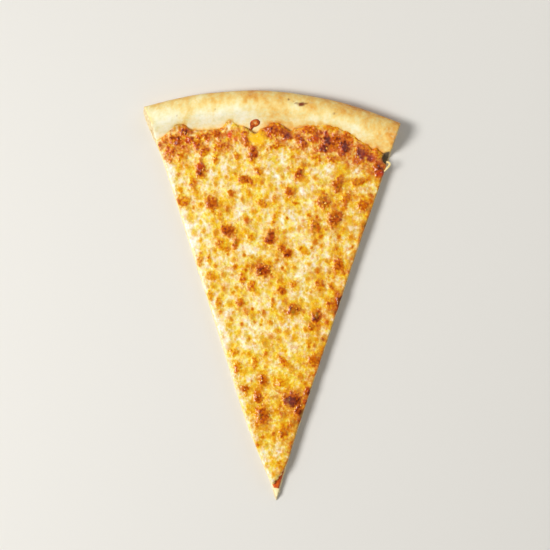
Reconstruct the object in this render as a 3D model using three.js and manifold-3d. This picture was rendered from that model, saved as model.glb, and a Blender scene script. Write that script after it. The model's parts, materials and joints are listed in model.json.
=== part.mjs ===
// A long thin slice of cheese pizza, lying flat: a baked crust with a raised rim, a thin spread of
// tomato sauce and a sheet of melted, blistered cheese.
// Millimetres, +Z up. The tip points to -Y and the rim to +Y, and the origin lies under the middle
// of the slice's bounding box, on the surface that the slice rests on.
import * as THREE from "three";
import { mergeVertices } from "three/addons/utils/BufferGeometryUtils.js";
import Module from "manifold-3d";

// The pie that the slice was cut from
const pieX = -12;
const pieY = -87.55;
const pieRadius = 201.9;

// The layers, from the bottom up, with the thin gap that keeps them separate solids
const baseThickness = 3.4;
const sauceThickness = 0.8;
const cheeseThickness = 2.2;
const layerGap = 0.3;

// The flat sheets run this far into the rim before they are joined to it or cut by it
const sheetOverlap = 4;

// The rim: its width and height, how far its crest lies inside the pie's edge, and how much its
// height and width wander along its length
const rimWidth = 20.5;
const rimHeight = 13.6;
const rimCrest = 9;
const rimHeightWander = 0.5;
const rimWidthWander = 0.35;
const rimFaces = 300;
const rimSectionSteps = 17;

// The rim's section, from its outer foot over the crest and down the inner slope: how far inside the
// pie's edge, and how high as a share of the rim's height
const rimSectionPoints = [
  [4, 0],
  [0.9, 0.16],
  [0, 0.45],
  [1.8, 0.77],
  [5.4, 0.96],
  [rimCrest, 1],
  [13, 0.83],
  [17, 0.51],
];
const rimFootRise = 0.5;
const rimTailLength = 4;
const rimTailDrop = 0.3;

// The two knife cuts, from the tip to past the rim. Each cut face leans over the slice as it rises.
const leftCut = [
  [2.6, -114.45],
  [-14.8, -72.2],
  [-30.6, -22.2],
  [-46.7, 27.8],
  [-61.4, 73.8],
  [-72.7, 104.2],
  [-80.2, 123.8],
];
const rightCut = [
  [2.6, -114.45],
  [15.5, -72.2],
  [32.2, -22.2],
  [48.8, 27.8],
  [60.8, 62.3],
  [66.7, 80.3],
  [72.2, 96],
  [78.8, 115.8],
];
const leftCutLean = 4.2;
const rightCutLean = 1.3;
const leanHalfHeight = 6;
const cutSteps = 18;
const cutHeight = 18;
const cutLevels = 6;

// The cheese stops a little way down the rim's inner slope, in lobes that reach out along the rim
const cheeseMargin = 20.3;
const cheeseLobes = [
  { x: -54, width: 7.5, reach: 4.9 },
  { x: -25.5, width: 4, reach: 3 },
  { x: -8, width: 3.2, reach: -3 },
  { x: 3.5, width: 5, reach: 2.8 },
  { x: 36, width: 18, reach: 5.6 },
  { x: 59, width: 3, reach: 1.2 },
];
const cheeseSkin = 1.3;
const cheeseRoll = 0.3;
const cheeseEdgeSteps = 48;
const cheeseArc = { from: -0.42, to: 0.52, apexY: -160 };
const cheeseCell = 4;
const cheeseGrid = { width: 156, length: 236 };

// The largest blisters of the cheese: place, radius and height
const blisters = [
  { x: 12, y: -58, radius: 5.5, height: 0.9 },
  { x: 24.3, y: -13.6, radius: 5, height: 0.7 },
  { x: 12.5, y: -9, radius: 4, height: 0.6 },
  { x: -5.5, y: -63, radius: 4.2, height: 0.7 },
  { x: 35, y: 42.6, radius: 5, height: 0.8 },
  { x: -23.5, y: 37, radius: 4.5, height: 0.7 },
  { x: -1, y: 33, radius: 3.8, height: 0.6 },
  { x: -38.7, y: 70.5, radius: 5, height: 0.8 },
  { x: -45, y: 87, radius: 9, height: 0.9 },
  { x: 28.8, y: 82, radius: 5.5, height: 0.9 },
  { x: 41, y: 82.5, radius: 5.5, height: 0.9 },
];

// Near the tip the cheese ends on a slant, then the sauce ends, and the last of the dough is bare
const cheeseEnd = { x: 2.4, y: -101.6, turn: 45 };
const sauceEnd = { x: 2.4, y: -106.2, turn: 5 };
const endBlock = 40;

// A torn air pocket opens in the right cut, at the foot of the rim
const pocket = { x: 65.9, y: 76.3, depth: 4.6, length: 3.5, floor: 1, top: 11, turn: -18 };

const wasm = await Module();
wasm.setup();

// A closed geometry as a solid that can be cut and joined.
function solidOf(geometry) {
  const bare = geometry.clone();
  bare.deleteAttribute("normal");
  bare.deleteAttribute("uv");
  const merged = mergeVertices(bare, 1e-4);
  const vertProperties = merged.attributes.position.array;
  const triVerts = new Uint32Array(merged.index.array);
  return new wasm.Manifold(new wasm.Mesh({ numProp: 3, vertProperties, triVerts }));
}

// A named mesh of a solid, in its own material.
function meshOf(name, solid, colour, roughness) {
  const { vertProperties, triVerts } = solid.getMesh();
  const geometry = new THREE.BufferGeometry();
  geometry.setAttribute("position", new THREE.BufferAttribute(vertProperties, 3));
  geometry.setIndex(new THREE.BufferAttribute(triVerts, 1));
  geometry.computeVertexNormals();
  const material = new THREE.MeshStandardMaterial({ color: colour, roughness, metalness: 0 });
  const mesh = new THREE.Mesh(geometry, material);
  mesh.name = name;
  return mesh;
}

// Moves every vertex of a geometry with a function that changes the point it is given.
function reshape(geometry, move) {
  const position = geometry.attributes.position;
  const point = new THREE.Vector3();
  for (let i = 0; i < position.count; i++) {
    point.fromBufferAttribute(position, i);
    move(point);
    position.setXYZ(i, point.x, point.y, point.z);
  }
  return geometry;
}

// Angle round the pie, from the direction of +Y towards +X.
function angleAt(x, y) {
  return Math.atan2(x - pieX, y - pieY);
}

// Distance of a point inside the pie's outer edge.
function depthInside(x, y) {
  return pieRadius - Math.hypot(x - pieX, y - pieY);
}

// The rim's section, from its outer foot over the top and down to the foot of its inner slope.
// The clearance swells it all round, for cutting what lies against it.
function rimSection(clearance) {
  const points = rimSectionPoints.map(([inside, share]) => {
    return new THREE.Vector2(pieRadius - inside, rimHeight * share);
  });
  const foot = pieRadius - rimWidth;
  points.push(new THREE.Vector2(foot, baseThickness + rimFootRise));
  points.push(new THREE.Vector2(foot - rimTailLength, baseThickness - rimTailDrop));
  const outline = new THREE.SplineCurve(points);
  const section = [];
  for (let i = 0; i <= rimSectionSteps; i++) {
    const t = i / rimSectionSteps;
    const point = outline.getPoint(t);
    const along = outline.getTangent(t);
    section.push(new THREE.Vector2(point.x + along.y * clearance, point.y - along.x * clearance));
  }
  section[0].y = 0;
  section.push(new THREE.Vector2(section[rimSectionSteps].x, 0));
  section.push(section[0].clone());
  return section;
}

// The rim of the whole pie as a closed ring, higher and wider in some places than in others.
function rimRing(clearance) {
  const ring = new THREE.LatheGeometry(rimSection(clearance), rimFaces);
  ring.rotateX(Math.PI / 2);
  ring.translate(pieX, pieY, 0);
  reshape(ring, (point) => {
    const angle = angleAt(point.x, point.y);
    const swell = Math.sin(9 * angle + 0.6) + 0.6 * Math.sin(23 * angle + 2);
    const spread = Math.sin(13 * angle + 1) + 0.5 * Math.sin(31 * angle);
    const share = point.z / rimHeight;
    point.z += swell * rimHeightWander * share * share;
    point.x += Math.sin(angle) * spread * rimWidthWander * share;
    point.y += Math.cos(angle) * spread * rimWidthWander * share;
  });
  return solidOf(ring);
}

// A flat round sheet of the whole pie, between two heights.
function pieSheet(radius, bottom, thickness) {
  const sheet = new THREE.CylinderGeometry(radius, radius, thickness, rimFaces / 3);
  sheet.rotateX(Math.PI / 2);
  sheet.translate(pieX, pieY, bottom + thickness / 2);
  return solidOf(sheet);
}

// Sideways run of a cut for each millimetre along +Y, where it leaves the tip.
function slopeAtTip([tip, next]) {
  return (next[0] - tip[0]) / (next[1] - tip[1]);
}

// The wedge between the two knife cuts, taller than the slice. As the cut faces lean in over the
// slice, the corner where they meet draws back from the tip.
function cutWedge() {
  const left = new THREE.SplineCurve(leftCut.map(([x, y]) => new THREE.Vector2(x, y)));
  const right = new THREE.SplineCurve(rightCut.map(([x, y]) => new THREE.Vector2(x, y)));
  const upRight = right.getPoints(cutSteps);
  const downLeft = left.getPoints(cutSteps).reverse();
  const outline = new THREE.Shape([...upRight, ...downLeft.slice(0, -1)]);
  const options = { depth: cutHeight, steps: cutLevels, bevelEnabled: false };
  const wedge = new THREE.ExtrudeGeometry(outline, options);
  const tipX = Math.fround(leftCut[0][0]);
  const rightSide = new Set(upRight.map((point) => Math.fround(point.x)));
  const leftSlope = slopeAtTip(leftCut);
  const rightSlope = slopeAtTip(rightCut);
  const retreat = (leftCutLean + rightCutLean) / (rightSlope - leftSlope);
  reshape(wedge, (point) => {
    const rise = point.z / (point.z + leanHalfHeight);
    if (point.x === tipX) {
      point.x += (rightSlope * retreat - rightCutLean) * rise;
      point.y += retreat * rise;
    } else {
      point.x += rightSide.has(point.x) ? -rightCutLean * rise : leftCutLean * rise;
    }
  });
  return solidOf(wedge);
}

// A block that covers everything past a slanted line near the tip.
function tipBlock({ x, y, turn }) {
  const block = new THREE.BoxGeometry(endBlock, endBlock, endBlock);
  block.translate(0, -endBlock / 2, 0);
  block.rotateZ(THREE.MathUtils.degToRad(turn));
  block.translate(x, y, 0);
  return solidOf(block);
}

// The hollow of the torn air pocket.
function pocketHollow() {
  const hollow = new THREE.SphereGeometry(1, 20, 12);
  hollow.scale(pocket.depth, pocket.length, (pocket.top - pocket.floor) / 2);
  hollow.rotateZ(THREE.MathUtils.degToRad(pocket.turn));
  hollow.translate(pocket.x, pocket.y, (pocket.top + pocket.floor) / 2);
  return solidOf(hollow);
}

// How far inside the pie's edge the cheese stops.
function cheeseStop(x) {
  let stop = cheeseMargin;
  for (const lobe of cheeseLobes) {
    stop -= lobe.reach * Math.exp(-(((x - lobe.x) / lobe.width) ** 2));
  }
  return stop;
}

// Height of the cheese: a rolling sheet with blisters, that climbs the rim's slope as a thin skin.
function cheeseTop(x, y) {
  const sheet = baseThickness + sauceThickness + cheeseThickness + 2 * layerGap;
  const rolls = Math.sin(x / 6.1 + y / 9.3) + Math.sin(x / 4.7 - y / 5.9 + 1.3);
  let raised = 0;
  for (const blister of blisters) {
    const away = Math.hypot(x - blister.x, y - blister.y) / blister.radius;
    raised = Math.max(raised, blister.height * (1 - away * away));
  }
  const inside = depthInside(x, y);
  const slope = (rimHeight - baseThickness) / (rimWidth - rimCrest);
  const climbing = baseThickness + (rimWidth - inside) * slope + cheeseSkin;
  return Math.max(sheet + rolls * cheeseRoll + raised, Math.min(climbing, rimHeight));
}

// The sheet of cheese before it is trimmed: a fine grid, flat below and shaped on top.
function cheeseSheet() {
  const bottom = baseThickness + sauceThickness + 2 * layerGap;
  const { width, length } = cheeseGrid;
  const columns = Math.round(width / cheeseCell);
  const rows = Math.round(length / cheeseCell);
  const sheet = new THREE.BoxGeometry(width, length, 1, columns, rows, 1);
  reshape(sheet, (point) => {
    point.z = point.z > 0 ? cheeseTop(point.x, point.y) : bottom;
  });
  return solidOf(sheet);
}

// The area that the cheese covers, up to its lobed edge along the rim.
function cheeseArea() {
  const outline = [new THREE.Vector2(pieX, cheeseArc.apexY)];
  for (let i = 0; i <= cheeseEdgeSteps; i++) {
    const angle = THREE.MathUtils.lerp(cheeseArc.to, cheeseArc.from, i / cheeseEdgeSteps);
    const x = pieX + pieRadius * Math.sin(angle);
    const radius = pieRadius - cheeseStop(x * (1 - cheeseMargin / pieRadius));
    outline.push(new THREE.Vector2(pieX + radius * Math.sin(angle), pieY + radius * Math.cos(angle)));
  }
  const options = { depth: cutHeight, bevelEnabled: false };
  return solidOf(new THREE.ExtrudeGeometry(new THREE.Shape(outline), options));
}

const wedge = cutWedge();
const hollow = pocketHollow();
const rimClearance = rimRing(layerGap);

const crust = pieSheet(pieRadius - rimWidth + sheetOverlap, 0, baseThickness)
  .add(rimRing(0))
  .intersect(wedge)
  .subtract(hollow);

const sauce = pieSheet(pieRadius - rimWidth + sheetOverlap, baseThickness + layerGap, sauceThickness)
  .intersect(wedge)
  .subtract(rimClearance)
  .subtract(tipBlock(sauceEnd))
  .subtract(hollow);

const cheese = cheeseSheet()
  .intersect(cheeseArea())
  .intersect(wedge)
  .subtract(rimClearance)
  .subtract(tipBlock(cheeseEnd))
  .subtract(hollow);

const slice = new THREE.Group();
slice.add(meshOf("crust", crust, 0xecc888, 0.85));
slice.add(meshOf("tomato_sauce", sauce, 0xc24a1c, 0.45));
slice.add(meshOf("cheese", cheese, 0xf0bd62, 0.4));

const box = new THREE.Box3().setFromObject(slice);
const middle = box.getCenter(new THREE.Vector3());
slice.position.set(-middle.x, -middle.y, -box.min.z);

export default slice;
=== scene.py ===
# A long thin slice of cheese pizza, lying flat: the baked crust with its raised rim, the thin sauce
# and the melted cheese each stand for their solid. A dab of cheese on the rim, a torn flake of
# dough, crumbs along the cuts and beads of oil are small pieces of their own.
import itertools
import json
import math
from functools import partial

import bmesh
import bpy
import numpy as np
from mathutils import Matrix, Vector
from mathutils.bvhtree import BVHTree
from mathutils.geometry import delaunay_2d_cdt

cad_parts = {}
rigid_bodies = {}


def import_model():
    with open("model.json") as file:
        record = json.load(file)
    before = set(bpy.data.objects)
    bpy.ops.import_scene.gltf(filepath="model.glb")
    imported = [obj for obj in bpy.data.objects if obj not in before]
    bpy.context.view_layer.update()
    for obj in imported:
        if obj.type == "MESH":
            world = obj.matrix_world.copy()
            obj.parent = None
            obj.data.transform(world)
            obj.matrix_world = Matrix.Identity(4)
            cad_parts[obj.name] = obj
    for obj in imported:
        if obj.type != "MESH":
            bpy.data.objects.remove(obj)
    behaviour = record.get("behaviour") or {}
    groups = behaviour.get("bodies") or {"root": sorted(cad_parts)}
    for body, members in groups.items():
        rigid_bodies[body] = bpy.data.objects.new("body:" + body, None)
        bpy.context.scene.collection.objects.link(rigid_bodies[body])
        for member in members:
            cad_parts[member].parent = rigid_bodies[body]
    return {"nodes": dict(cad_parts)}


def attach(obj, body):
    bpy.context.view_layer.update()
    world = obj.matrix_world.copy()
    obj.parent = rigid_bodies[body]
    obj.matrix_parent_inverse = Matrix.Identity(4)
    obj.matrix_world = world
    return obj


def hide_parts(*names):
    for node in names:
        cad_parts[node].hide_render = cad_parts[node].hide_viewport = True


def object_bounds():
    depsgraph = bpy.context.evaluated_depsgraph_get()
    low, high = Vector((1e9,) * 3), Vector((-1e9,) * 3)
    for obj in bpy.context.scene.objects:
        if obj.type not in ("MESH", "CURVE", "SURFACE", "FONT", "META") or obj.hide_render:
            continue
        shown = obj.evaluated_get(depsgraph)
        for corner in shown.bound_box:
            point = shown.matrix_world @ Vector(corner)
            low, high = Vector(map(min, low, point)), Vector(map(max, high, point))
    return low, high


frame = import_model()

mm = 0.001
cadLow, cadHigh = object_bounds()
cadBox = [list(cadLow), list(cadHigh)]

# The pie that the slice was cut from, in millimetres
pie = {
    "centreX": -12.0,
    "centreY": -87.55,
    "radius": 201.9,
    "baseTop": 3.4,
    "sauceTop": 4.5,
    "cheeseFloor": 4.55,
    "cheeseTop": 7.0,
    "sauceMiddle": 4.0,
    "cheeseMiddle": 6.2,
    "leftCut": [(2.6, -114.45), (-14.8, -72.2), (-30.6, -22.2), (-46.7, 27.8), (-61.4, 73.8),
                (-72.7, 104.2), (-80.2, 123.8)],
    "rightCut": [(2.6, -114.45), (15.5, -72.2), (32.2, -22.2), (48.8, 27.8), (60.8, 62.3),
                 (66.7, 80.3), (72.2, 96), (78.8, 115.8)],
    "leftLean": 4.2,
    "rightLean": 1.3,
    "leanHalfHeight": 6.0,
    "rimHeight": 13.6,
    "rimSection": [(4, 0), (0.9, 0.16), (0, 0.45), (1.8, 0.77), (5.4, 0.96), (9, 1), (13, 0.83),
                   (17, 0.51), (20.5, 0.287), (24.5, 0.228)],
    "rimSwell": 0.5,
    "rimSpread": 0.35,
    "pocket": (65.9, 76.3, 4.6, 3.5, -18),
}


def linear(hexColour):
    # an sRGB hex colour as the linear values that sockets take
    shares = [int(hexColour[i : i + 2], 16) / 255 for i in (1, 3, 5)]
    return [s / 12.92 if s <= 0.04045 else ((s + 0.055) / 1.055) ** 2.4 for s in shares] + [1.0]


def addNode(tree, kind, inputs=None, **settings):
    # inputs are values or links; settings are the node's own properties, or its ramp's stops
    node = tree.nodes.new(kind)
    for name, value in settings.items():
        if name == "stops":
            ramp = node.color_ramp
            while len(ramp.elements) < len(value):
                ramp.elements.new(1.0)
            for element, (place, hexColour) in zip(ramp.elements, value):
                element.position = place
                element.color = linear(hexColour)
        else:
            setattr(node, name, value)
    for key, value in (inputs or {}).items():
        if isinstance(value, bpy.types.NodeSocket):
            tree.links.new(value, node.inputs[key])
        else:
            node.inputs[key].default_value = value
    return node


def newMaterial(name, fields=(), grains=None):
    # fields are the piece's own attributes; grains are noises, by size in millimetres
    material = bpy.data.materials.new(name)
    material.use_nodes = True
    tree = material.node_tree
    tree.nodes.clear()
    parts = {f: addNode(tree, "ShaderNodeAttribute", attribute_name=f).outputs["Fac"] for f in fields}
    for grain, (size, inputs) in (grains or {}).items():
        place = addNode(tree, "ShaderNodeTexCoord").outputs["Object"]
        noise = addNode(tree, "ShaderNodeTexNoise", {"Vector": place, "Scale": 1 / (size * mm), **inputs})
        parts[grain] = noise.outputs["Fac"]
    return material, tree, parts


def unevenness(tree, parts, strengths):
    # the named grains together, centred on nought
    total = -0.5 * sum(strengths.values())
    for name, strength in strengths.items():
        node = addNode(tree, "ShaderNodeMath", {0: parts[name], 1: strength, 2: total},
                       operation="MULTIPLY_ADD")
        total = node.outputs[0]
    return total


def layered(tree, colour, layers):
    # lays colours one over another, each by its share
    for share, over in layers:
        mix = addNode(tree, "ShaderNodeMix", {0: share, 6: colour, 7: over}, data_type="RGBA")
        colour = mix.outputs[2]
    return colour


def bumped(tree, parts, bumps):
    # the relief of the named grains: how strong, and how high in millimetres
    inputs = {}
    for name, (strength, height) in bumps.items():
        node = addNode(tree, "ShaderNodeBump", {
            "Height": parts[name], "Strength": strength, "Distance": height * mm, **inputs})
        inputs = {"Normal": node.outputs["Normal"]}
    return inputs


def addSurface(tree, inputs):
    shader = addNode(tree, "ShaderNodeBsdfPrincipled", inputs)
    addNode(tree, "ShaderNodeOutputMaterial", {"Surface": shader.outputs[0]})


def clamp(share):
    return np.clip(share, 0, 1)


def soften(share):
    share = clamp(share)
    return share * share * (3 - 2 * share)


def bell(away, width):
    return np.exp(-((away / width) ** 2))


def rounded(room, radius):
    # the height of a rounded edge, from 0 at its rim to 1 at `radius` inside it
    return np.sqrt(1 - (1 - clamp(room / radius)) ** 2)


def cellKey(at):
    # a number from 0 to 4095 for each cell, the same each time
    return np.bitwise_xor.reduce(at * [73856093, 19349663, 83492791][: at.shape[1]], axis=1) & 4095


def softNoise(points, size, seed, octaves=1, gain=0.5):
    # gradient noise from about -1 to 1, with bumps about `size` millimetres across
    chance = np.random.default_rng(seed)
    dims = points.shape[1]
    total = np.zeros(len(points))
    strength, whole = 1.0, 0.0
    for _ in range(octaves):
        slopes = chance.normal(size=(4096, dims))
        slopes /= np.linalg.norm(slopes, axis=1, keepdims=True)
        place = points / size + chance.uniform(0, 900, dims)
        cell = np.floor(place).astype(np.int64)
        part = place - cell
        ease = part**3 * (part * (part * 6 - 15) + 10)
        for corner in itertools.product((0, 1), repeat=dims):
            at = cell + corner
            weight = np.prod(np.where(np.array(corner) == 1, ease, 1 - ease), axis=1)
            total += strength * weight * np.sum(slopes[cellKey(at)] * (part - corner), axis=1)
        whole += strength
        strength *= gain
        size /= 2
    return total / whole * 1.5


def poreNoise(points, size, seed):
    # distance to the nearest of scattered points, one in each cell of `size` millimetres
    chance = np.random.default_rng(seed)
    offsets = chance.random((4096, 3))
    place = points / size
    cell = np.floor(place).astype(np.int64)
    nearest = np.full(len(points), 9.0)
    for corner in itertools.product((-1, 0, 1), repeat=3):
        at = cell + corner
        away = at + offsets[cellKey(at)] - place
        nearest = np.minimum(nearest, np.sum(away * away, axis=1))
    return np.sqrt(nearest)


def splinePoints(points, steps):
    # a smooth curve through the points
    points = np.array(points, float)
    last = len(points) - 1
    t = np.linspace(0, last, steps)
    i = np.minimum(t.astype(int), last - 1)
    w = (t - i)[:, None]
    here, there = points[i], points[i + 1]
    leave = (there - points[np.maximum(i - 1, 0)]) / 2
    arrive = (points[np.minimum(i + 2, last)] - here) / 2
    return ((2 * here - 2 * there + leave + arrive) * w**3
            + (3 * there - 3 * here - 2 * leave - arrive) * w**2 + leave * w + here)


leftCurve = splinePoints(pie["leftCut"], 400)
rightCurve = splinePoints(pie["rightCut"], 400)


def insidePie(x, y):
    return pie["radius"] - np.hypot(x - pie["centreX"], y - pie["centreY"])


def cutRoom(x, y, z):
    # how far a point lies inside the left and the right cut
    rise = z / (z + pie["leanHalfHeight"])
    left = np.interp(y, leftCurve[:, 1], leftCurve[:, 0]) + pie["leftLean"] * rise
    right = np.interp(y, rightCurve[:, 1], rightCurve[:, 0]) - pie["rightLean"] * rise
    return (x - left) * 0.95, (right - x) * 0.95


def turned(x, y, degrees):
    c, s = math.cos(math.radians(degrees)), math.sin(math.radians(degrees))
    return x * c + y * s, y * c - x * s


def pocketRoom(x, y):
    # how far a point lies outside the torn air pocket
    centreX, centreY, depth, length, turn = pie["pocket"]
    u, v = turned(x - centreX, y - centreY, turn)
    return (np.hypot(u / depth, v / length) - 1) * length


def endRoom(x, y, end):
    return turned(x - end[0], y - end[1], end[2])[1]


def addObject(name, data):
    thing = bpy.data.objects.new(name, data)
    bpy.context.scene.collection.objects.link(thing)
    return thing


def makePiece(name, points, faces, material, fields=None):
    # points in millimetres become a mesh in metres, with each field as an attribute of its points
    low, high = np.array(cadBox[0]), np.array(cadBox[1])
    mesh = bpy.data.meshes.new(name)
    mesh.from_pydata(np.clip(points * mm, low, high).tolist(), [], [list(f) for f in faces])
    mesh.shade_smooth()
    for fieldName, values in (fields or {}).items():
        attribute = mesh.attributes.new(fieldName, "FLOAT", "POINT")
        attribute.data.foreach_set("value", np.ascontiguousarray(values, np.float32))
    mesh.materials.append(material)
    return addObject(name, mesh)


def readMesh(mesh):
    points = np.zeros(len(mesh.vertices) * 3)
    mesh.vertices.foreach_get("co", points)
    normals = np.zeros(len(mesh.vertices) * 3)
    mesh.vertices.foreach_get("normal", normals)
    edges = np.zeros(len(mesh.edges) * 2, np.int32)
    mesh.edges.foreach_get("vertices", edges)
    return points.reshape(-1, 3) / mm, normals.reshape(-1, 3), edges.reshape(-1, 2)


def settled(piece):
    # the evaluated piece as a plain mesh
    view = bpy.context.evaluated_depsgraph_get()
    return bpy.data.meshes.new_from_object(piece.evaluated_get(view))


# Baked wheat dough, matt and floury: pale cream on the inner slope, golden along the outer edge,
# and an open crumb where the knife went through.
crustLook = {
    "voxel": 0.68,
    "relaxRounds": 14,
    "wrinkle": 0.22,
    "poreSize": 2.3,
    "poreDepth": 0.75,
    "leanEase": 1.3,
    "bake": [(0.0, "#FAF6DC"), (0.16, "#F7EDC0"), (0.34, "#F2D88C"), (0.5, "#ECBE60"),
             (0.66, "#E2A040"), (0.82, "#CA7C28"), (1.0, "#925416")],
    # flour and tiny dry blisters, the bake's mottling, and paler dusty patches
    "grains": {"flour": (1.1, {"Detail": 3.0}), "mottle": (4.0, {"Detail": 2.0}),
               "dust": (2.5, {"Detail": 3.0, "Roughness": 0.6})},
    "uneven": {"flour": 0.2, "mottle": 0.26},
    "bumps": {"flour": (0.35, 0.25)},
    "flouryTint": "#DFDDA4",
    # how baked the inner slope and the outer edge are, along the rim
    "bakeAlong": [-62, -48, -34, -20, -6, 8, 22, 36, 50, 64],
    "bakeInner": [0.02, 0.2, 0.1, 0.1, 0.26, 0.42, 0.2, 0.32, 0.18, 0.56],
    "bakeOuter": [0.3, 0.4, 0.44, 0.42, 0.5, 0.5, 0.5, 0.52, 0.52, 0.62],
    # painted shade: the dark grey-brown laid inside the torn air pocket, where shade falls
    "hollow": "#66563A",
    "crumb": [(0.0, "#DCC899"), (0.5, "#D0B480"), (1.0, "#B8945F")],
    "under": [(0.0, "#EAD09A"), (0.45, "#D9AE6B"), (0.75, "#B97C40"), (1.0, "#7E4A22")],
    "charred": "#7A3416",
    "specks": [(16.2, 105.8, 1.8, 1.05, 1.0), (13.4, 106.4, 1.1, 0.35, 0.75), (18.6, 106.2, 1.2, 0.32, 0.8),
               (9.3, 108.4, 0.6, 0.5, 0.85), (12.3, 107.4, 0.5, 0.3, 0.5), (34.3, 100.6, 0.6, 0.6, 0.55),
               (-31.0, 103.0, 0.4, 0.4, 0.35), (-52.0, 99.6, 0.4, 0.4, 0.35)],
}


def relax(points, edges, weight, rounds):
    # eases the points towards the middle of their neighbours
    count = np.bincount(edges.ravel(), minlength=len(points))[:, None]
    for _ in range(rounds):
        sums = np.empty_like(points)
        for axis in range(3):
            sums[:, axis] = np.bincount(edges[:, 0], points[edges[:, 1], axis], len(points))
            sums[:, axis] += np.bincount(edges[:, 1], points[edges[:, 0], axis], len(points))
        points = points + weight[:, None] * 0.6 * (sums / count - points)
    return points


def rimSkinDepth(points):
    # how deep a point lies under the crust's outer skin, before any wrinkle
    x, y, z = points.T
    angle = np.arctan2(x - pie["centreX"], y - pie["centreY"])
    swell = np.sin(9 * angle + 0.6) + 0.6 * np.sin(23 * angle + 2)
    spread = np.sin(13 * angle + 1) + 0.5 * np.sin(31 * angle)
    share = np.clip(z / pie["rimHeight"], 0, 1.1)
    height = z - swell * pie["rimSwell"] * share**2
    inside = insidePie(x, y) + spread * pie["rimSpread"] * share
    section = splinePoints(pie["rimSection"], 90) * [1, pie["rimHeight"]]
    depth = np.full(len(points), 99.0)
    for a, b in zip(section[:-1], section[1:]):
        along = b - a
        t = clamp(((inside - a[0]) * along[0] + (height - a[1]) * along[1]) / (along @ along))
        depth = np.minimum(depth, np.hypot(inside - a[0] - t * along[0], height - a[1] - t * along[1]))
    onBase = inside > 23
    depth = np.where(onBase, np.maximum(pie["baseTop"] - z, 0), depth)
    return np.minimum(depth, np.where(inside > 3, np.maximum(z, 0), 99)), inside


def crustMaterial(look):
    material, tree, parts = newMaterial(
        "baked wheat dough", ("bake", "crumb", "pore", "under", "char", "hollow"), look["grains"])
    shift = unevenness(tree, parts, look["uneven"])
    ramp = {}
    for name, source in (("bake", "bake"), ("crumb", "pore"), ("under", "under")):
        level = addNode(tree, "ShaderNodeMath", {0: parts[source], 1: shift}, operation="ADD")
        node = addNode(tree, "ShaderNodeValToRGB", {"Fac": level.outputs[0]}, stops=look[name])
        ramp[name] = node.outputs["Color"]
    dusty = addNode(tree, "ShaderNodeMapRange", {0: parts["dust"], 1: 0.48, 2: 0.72, 3: 0.0, 4: 0.5})
    isUnder = addNode(tree, "ShaderNodeMath", {0: parts["under"], 1: 0.02}, operation="GREATER_THAN")
    # over the bake lie flour dust, crumb, underside and char, and last the painted shade inside the torn
    # pocket
    colour = layered(tree, ramp["bake"], [
        (dusty.outputs[0], linear(look["flouryTint"])), (parts["crumb"], ramp["crumb"]),
        (isUnder.outputs[0], ramp["under"]), (parts["char"], linear(look["charred"])),
        (parts["hollow"], linear(look["hollow"]))])
    addSurface(tree, {
        "Base Color": colour, "Roughness": 0.72, "IOR": 1.45, "Specular IOR Level": 0.3,
        "Sheen Weight": 0.08, "Sheen Roughness": 0.6, **bumped(tree, parts, look["bumps"])})
    return material


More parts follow.
